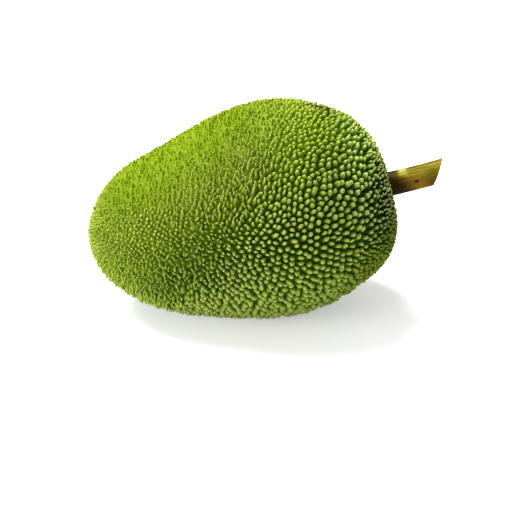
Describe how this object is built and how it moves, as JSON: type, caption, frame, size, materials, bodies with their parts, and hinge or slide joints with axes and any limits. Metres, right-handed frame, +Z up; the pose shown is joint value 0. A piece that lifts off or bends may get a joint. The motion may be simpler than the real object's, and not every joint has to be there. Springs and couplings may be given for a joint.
{
  "type": "jackfruit",
  "caption": "Whole spiny jackfruit lying on its side, pear-shaped, thicker and blunter towards the short slanted stub of its stalk.",
  "frame": {"origin": "on the surface that the fruit lies on, under the middle of the box round the fruit and its stalk", "axes": "+X from the blossom end to the stalk, seen from above; +Z up; the stalk end of the fruit's own axis is raised 12.6 degrees"},
  "size_m": [0.3366, 0.2106, 0.2041],
  "materials": {
    "rind": "satin, leathery green spines",
    "bark": "dull, fibrous"
  },
  "bodies": {
    "root": {"fruit": "rind", "stalk": "bark"}
  },
  "joints": []
}
